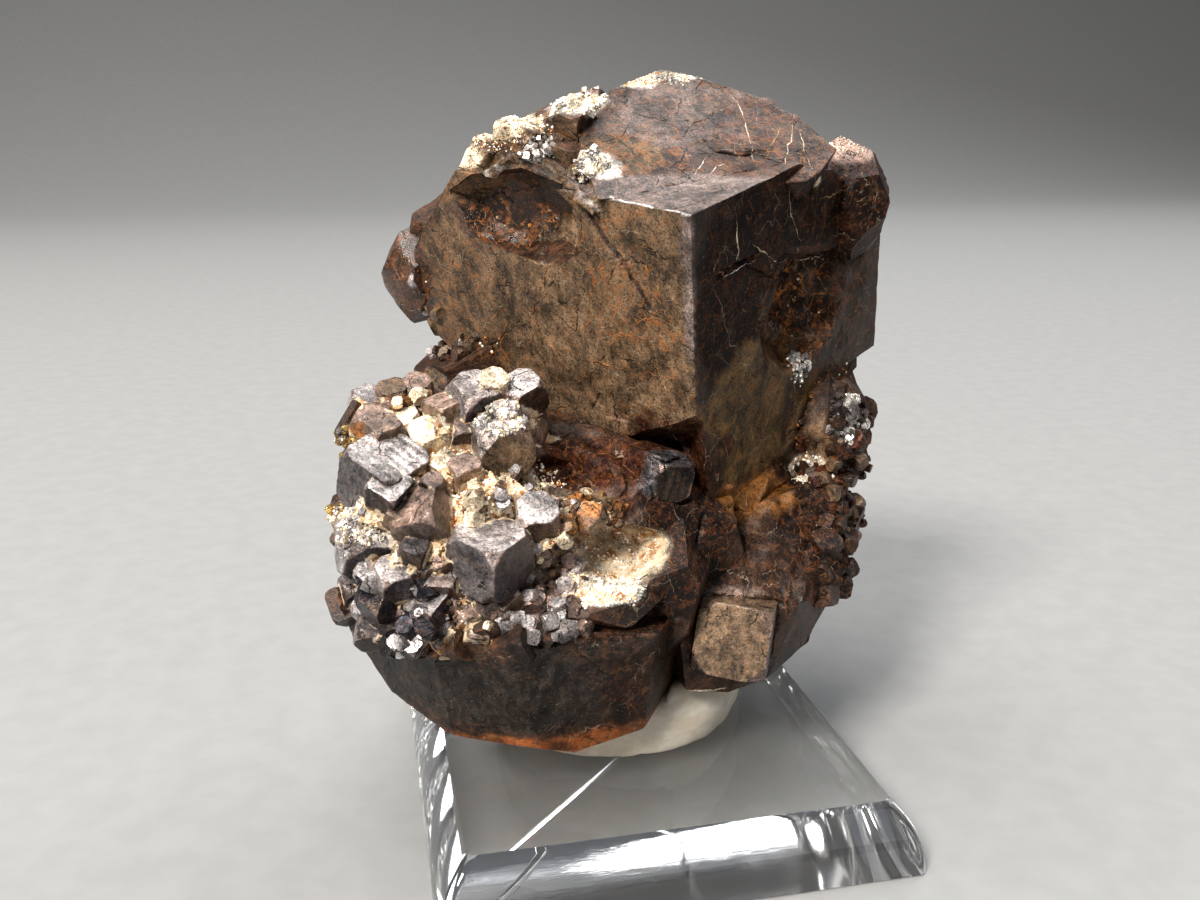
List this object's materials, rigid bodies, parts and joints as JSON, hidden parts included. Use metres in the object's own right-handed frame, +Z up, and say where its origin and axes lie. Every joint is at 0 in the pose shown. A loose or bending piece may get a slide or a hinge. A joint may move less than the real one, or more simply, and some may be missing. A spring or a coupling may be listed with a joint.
{
  "type": "limonite pseudomorph after pyrite",
  "caption": "Intergrown cubes and cuboctahedra of brown limonite after pyrite, with a small-crystal crust, held by putty on a clear square block.",
  "frame": {"origin": "centre of the display block's underside, on the table", "axes": "+Z up; X and Y along the block's sides, with the front side facing -Y; the specimen is turned 12.4 degrees clockwise from above on the block"},
  "size_m": [0.0443, 0.0407, 0.051],
  "materials": {
    "limonite": "satin",
    "putty": "matte",
    "clear_acrylic": "polished"
  },
  "bodies": {
    "root": {"specimen": "limonite", "putty": "putty", "display_block": "clear_acrylic"}
  },
  "joints": []
}
